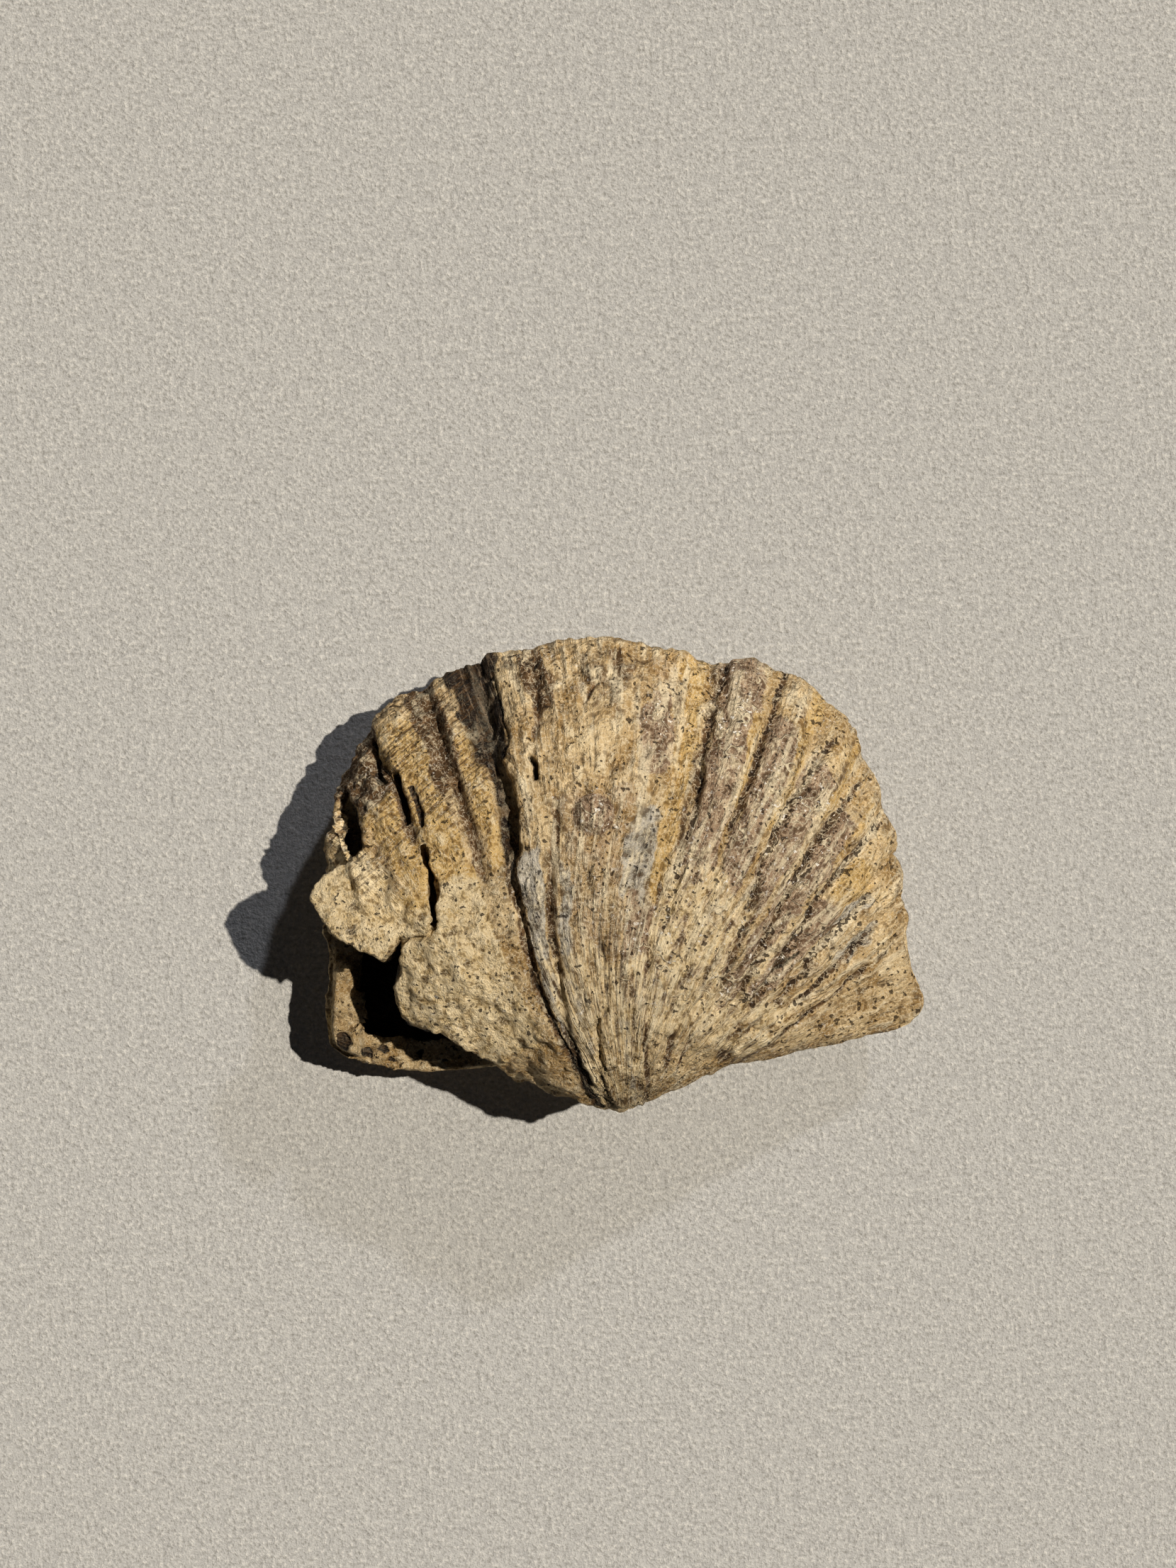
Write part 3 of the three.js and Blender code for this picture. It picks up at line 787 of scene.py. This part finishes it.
def layered(tree, colour, layers):
    """Lays thin colours over one another. Each layer has a name, a noise, the values where it
    starts and is full, its strength, the masks that it is kept to, and its colour. Gives the
    colour on top, and each layer's share by name."""
    shares = {}
    for name, source, start, full, strength, masks, shade in layers:
        share = add(tree, RANGE, (source, start, full, 0.0, strength))
        for mask in masks:
            share = add(tree, MATH, (share, mask), operation="MULTIPLY")
        colour = add(tree, MIX, {SHARE: share, COLOUR_BELOW: colour, COLOUR_ABOVE: shade},
                     COLOUR_OUT, data_type="RGBA")
        shares[name] = share
    return colour, shares


def new_material(name, specular):
    material = bpy.data.materials.new(name)
    material.use_nodes = True
    tree = material.node_tree
    shader = tree.nodes["Principled BSDF"]
    shader.inputs["Specular IOR Level"].default_value = specular
    place = add(tree, "ShaderNodeTexCoord", output="Object")
    return material, tree, shader, place


def paper_floor():
    """Matt card pressed from pulp, finely flecked, so it has no gloss. Its fibres are about
    0.1 mm wide, which is too fine to show, so the flecks are drawn 0.4 mm wide."""
    material, tree, shader, place = new_material("matt flecked card", DULL)
    grain = grains(tree, [
        ("fleck", place, wide(0.4), 0, 2.0, 0.7),
        ("cloud", place, wide(1.2), 0, 3.0, 0.6),
    ])
    share = add(tree, RANGE, (grain["cloud"], 0.35, 0.65))
    colour = add(tree, MIX, {SHARE: share, COLOUR_BELOW: "#aeadaa", COLOUR_ABOVE: "#bab9b5"},
                 COLOUR_OUT, data_type="RGBA")
    colour, _ = layered(tree, colour, [
        ("dark fleck", grain["fleck"], 0.48, 0.32, 0.55, (), "#85827a"),
        ("pale fleck", grain["fleck"], 0.54, 0.68, 0.6, (), "#dedbd3"),
    ])
    relief = add(tree, MATH, (grain["fleck"], grain["cloud"]), operation="ADD")
    bump = add(tree, "ShaderNodeBump",
               {"Height": relief, "Distance": CARD_GRAIN * MM, "Strength": 1.0})
    tree.links.new(colour, shader.inputs["Base Color"])
    tree.links.new(bump, shader.inputs["Normal"])
    shader.inputs["Roughness"].default_value = 0.9
    bm = bmesh.new()
    bmesh.ops.create_grid(bm, x_segments=1, y_segments=1, size=0.6)
    floor = new_object("paper_floor", bm)
    floor.data.materials.append(material)


def fossil_limestone():
    """Limestone that filled the shell and set, with clay, old shell, stains and painted shade on
    it.
    Its surface is weathered and was never worked, so it is dull, pitted and grainy all over. Its
    grains are about 0.1 mm, which is too fine to show, so crumbs and crystals are drawn about 0.5
    mm wide."""
    material, tree, shader, place = new_material("fossil limestone", DULL)
    field = {name: add(tree, "ShaderNodeAttribute", output="Fac", attribute_name=name)
             for name in STAINS_AND_SHADE + GUIDES}
    fan = add(tree, "ShaderNodeCombineXYZ", (field["fan_angle"], field["fan_reach"]))

    # Over the fan, a lump's width is in degrees across the ribs and millimetres along them.
    grain = grains(tree, [
        ("lump", place, wide(3.5), 0, 4.0, 0.6),
        ("mottle", place, wide(1.1), 0, 3.0, 0.65),
        ("rock", place, wide(1.3), 0, 6.0, 0.68),
        ("drawn rock", fan, (2.4, 2.6, 1.0), 0, 6.0, 0.68),
        ("crumb", place, wide(0.55), 0, 2.0, 0.5),
        ("streak", fan, (1.6, 7.0, 1.0), 0, 3.0, 0.55),
        ("thread", fan, (0.8, 5.0, 1.0), 0, 2.0, 0.55),
        ("striae", place, (3.0 * MM, 0.32 * MM, 3.0 * MM), 38, 2.0, 0.6),
        ("vein", place, wide(3.2), 0, 2.0, 0.6),
        ("vein place", place, wide(5.0), 0, 2.0, 0.6),
        ("gather", place, wide(6.0), 0, 2.0, 0.6),
        ("bright", place, wide(0.45), 0, 2.0, 0.6),
    ])
    rock = add(tree, MIX, {SHARE: field["drawn"], NUMBER_BELOW: grain["rock"],
                           NUMBER_ABOVE: grain["drawn rock"]}, data_type="FLOAT")
    patchy = add(tree, RANGE, (grain["mottle"], 0.38, 0.62))
    lumpy = add(tree, RANGE, (grain["lump"], 0.38, 0.62))
    colour = add(tree, MIX, {SHARE: lumpy, COLOUR_BELOW: STONE_DARK, COLOUR_ABOVE: STONE_PALE},
                 COLOUR_OUT, data_type="RGBA")
    edge = add(tree, MATH, (rock, 0.5), operation="SUBTRACT")
    # The black laid here is partly painted shade.
    for name, light, dark, eaten in TINTS:
        ragged = add(tree, MATH, (edge, RAGGED * eaten, field[name]), operation="MULTIPLY_ADD")
        shade = add(tree, MIX, {SHARE: patchy, COLOUR_BELOW: dark, COLOUR_ABOVE: light}, COLOUR_OUT,
                    data_type="RGBA")
        only_here = add(tree, RANGE, (field[name], 0.0, 0.15))
        colour, _ = layered(tree, colour, [(name, ragged, 0.35, 0.6, 1.0, (only_here,), shade)])

    # Thin lines lie where a noise is at its middle.
    line = {}
    for name in ("crumb", "thread", "vein"):
        offset = add(tree, MATH, (grain[name], 0.5), operation="SUBTRACT")
        line[name] = add(tree, MATH, (offset,), operation="ABSOLUTE")
    # Less where the black is, which is partly painted shade.
    outside_black = add(tree, RANGE, (field["black"], 0.0, 1.0, 1.0, 0.15))
    veined = add(tree, RANGE, (grain["vein place"], 0.46, 0.56))
    crusted = add(tree, RANGE, (grain["mottle"], 0.55, 0.42))
    gather = add(tree, RANGE, (grain["gather"], 0.42, 0.62))
    crystalline = add(tree, MATH, (gather, field["shell"]), operation="ADD")
    crystalline = add(tree, RANGE, (crystalline, 0.6, 1.6))
    pitted = add(tree, MATH, (gather, 0.2, field["pitted"]), operation="MULTIPLY_ADD")
    pitted = add(tree, MATH, (field["ear"], 0.2, pitted), operation="MULTIPLY_ADD")
    pitted = add(tree, MATH, (pitted, 0.13, grain["crumb"]), operation="MULTIPLY_ADD")
    colour, share = layered(tree, colour, [
        ("pale streak", grain["streak"], 0.53, 0.61, 0.65, (field["ribbed"], outside_black), "#f0e0bd"),
        ("dark streak", grain["thread"], 0.46, 0.36, 1.0, (field["lined"],), "#4c3926"),
        ("scratch", grain["striae"], 0.48, 0.38, 0.8, (field["striae"],), "#5f452a"),
        ("vein", line["vein"], 0.016, 0.006, 0.9, (field["shell"], veined), "#f0e0bd"),
        ("dark grain", rock, 0.45, 0.36, 0.75, (), "#4a351f"),
        ("pale grain", rock, 0.54, 0.64, 0.65, (outside_black,), "#fbe9c2"),
        ("crust", grain["crumb"], 0.44, 0.36, 0.5, (crusted,), "#5c4429"),
        ("flake", line["crumb"], 0.03, 0.01, 0.4, (outside_black,), "#fff0cf"),
        # Growth lines on the black, painted paler as the glints on them: painted highlight.
        ("growth line glint", line["thread"], 0.03, 0.01, 0.5, (field["black"],), "#8f7b63"),
        ("pit", pitted, 0.66, 0.70, 0.85, (), "#2c1f14"),
        ("crystal", grain["bright"], 0.64, 0.67, 1.0, (crystalline, outside_black), "#fff8ea"),
    ])

    ribbed_streak = add(tree, MATH, (grain["streak"], field["ribbed"]), operation="MULTIPLY")
    ribbed_thread = add(tree, MATH, (grain["thread"], field["ribbed"]), operation="MULTIPLY")
    scratches = add(tree, MATH, (grain["striae"], field["striae"]), operation="MULTIPLY")
    relief = rock
    for value, height in ((grain["mottle"], 0.2), (ribbed_streak, 0.35), (ribbed_thread, 0.3),
                          (scratches, 0.25), (share["pit"], -0.29), (share["vein"], 0.11)):
        relief = add(tree, MATH, (value, height, relief), operation="MULTIPLY_ADD")
    bump = add(tree, "ShaderNodeBump",
               {"Height": relief, "Distance": STONE_GRAIN * MM, "Strength": 1.0})
    tree.links.new(colour, shader.inputs["Base Color"])
    tree.links.new(add(tree, RANGE, (share["crystal"], 0.0, 1.0, 0.82, 0.4)),
                   shader.inputs["Roughness"])
    tree.links.new(bump, shader.inputs["Normal"])
    return material


# ---------------------------------------------------------------- light and camera

TURN = math.radians(-3.5)        # the shell lies turned by this under the camera
CAMERA_OVER = (-1.93, 23.32)     # point under the camera, from the hinge
CAMERA_HEIGHT = 296.5


def sun(name, right, up, strength, angle, colour):
    """A far lamp whose light comes from right, up and one above, as the camera sees them."""
    data = bpy.data.lights.new(name, "SUN")
    data.energy = strength
    data.angle = math.radians(angle)
    data.color = linear(colour)[:3]
    lamp = bpy.data.objects.new(name, data)
    towards = Vector((right, up, 1.0))
    towards.rotate(Euler((0.0, 0.0, TURN)))
    lamp.rotation_euler = towards.to_track_quat("Z", "Y").to_euler()
    bpy.context.scene.collection.objects.link(lamp)


def studio():
    sun("key_light", 0.52, 0.17, 3.75, 0.8, "#fff6e8")
    sun("second_light", 0.60, 1.11, 0.62, 2.5, "#eef2ff")
    sun("third_light", -0.6, -0.5, 0.03, 30.0, "#eef2ff")
    world = bpy.data.worlds.new("studio")
    world.use_nodes = True
    background = world.node_tree.nodes["Background"]
    background.inputs["Color"].default_value = linear("#dde4f2")
    background.inputs["Strength"].default_value = 0.014
    bpy.context.scene.world = world
    bpy.context.scene.view_settings.view_transform = "Standard"
    data = bpy.data.cameras.new("camera")
    data.sensor_fit = "VERTICAL"
    data.sensor_height = 36.0
    data.lens = 70.63
    camera = bpy.data.objects.new("camera", data)
    over_x, over_y = CAMERA_OVER
    camera.location = (MM * (HINGE_X + over_x), MM * (HINGE_Y + over_y), MM * CAMERA_HEIGHT)
    camera.rotation_euler = (0.0, 0.0, TURN)
    bpy.context.scene.collection.objects.link(camera)
    bpy.context.scene.camera = camera


paper_floor()
studio()
stone = carved_stone()
stone.data.materials.clear()
stone.data.materials.append(fossil_limestone())
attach(stone, "root")
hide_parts(NODE)
